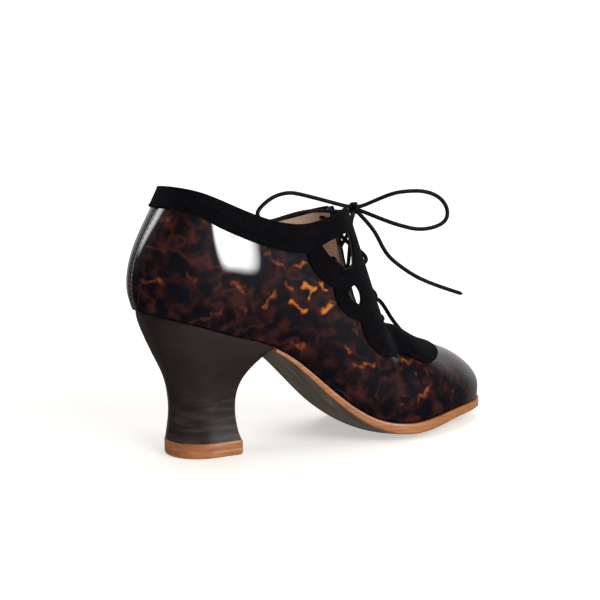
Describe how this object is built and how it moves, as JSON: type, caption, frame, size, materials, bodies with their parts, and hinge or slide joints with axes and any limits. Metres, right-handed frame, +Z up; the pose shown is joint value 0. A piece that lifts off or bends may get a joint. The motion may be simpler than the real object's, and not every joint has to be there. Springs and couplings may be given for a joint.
{
  "type": "flamenco shoe",
  "caption": "Laced high-heeled dance shoe for the right foot: hollow patent upper, scalloped suede collar and lace facing, spool heel, leather sole, and a lace tied in a bow.",
  "frame": {"origin": "on the floor, under the middle of the shoe's box without the free lace", "axes": "+X from heel to toe, +Y to the inner side of the foot, +Z up"},
  "size_m": [0.2158, 0.0816, 0.1436],
  "materials": {
    "patent_leather": "high-gloss patent in a tortoiseshell print of dark brown and amber",
    "black_suede": "matt napped suede",
    "lining_leather": "smooth unglazed lining leather",
    "sole_leather": "waxed edge, stained underside",
    "heel_paint": "dark brown satin paint",
    "lift_leather": "waxed edge",
    "waxed_lace": "waxed round braid"
  },
  "bodies": {
    "root": {"upper": "patent_leather", "suede_facing": "black_suede", "insole": "lining_leather", "outsole": "sole_leather", "heel_block": "heel_paint", "top_lift": "lift_leather", "lace_crossings": "waxed_lace", "lace_knot": "waxed_lace", "lace_loop_front": "waxed_lace", "lace_loop_back": "waxed_lace", "lace_end_near": "waxed_lace", "lace_end_far": "waxed_lace"}
  },
  "joints": []
}
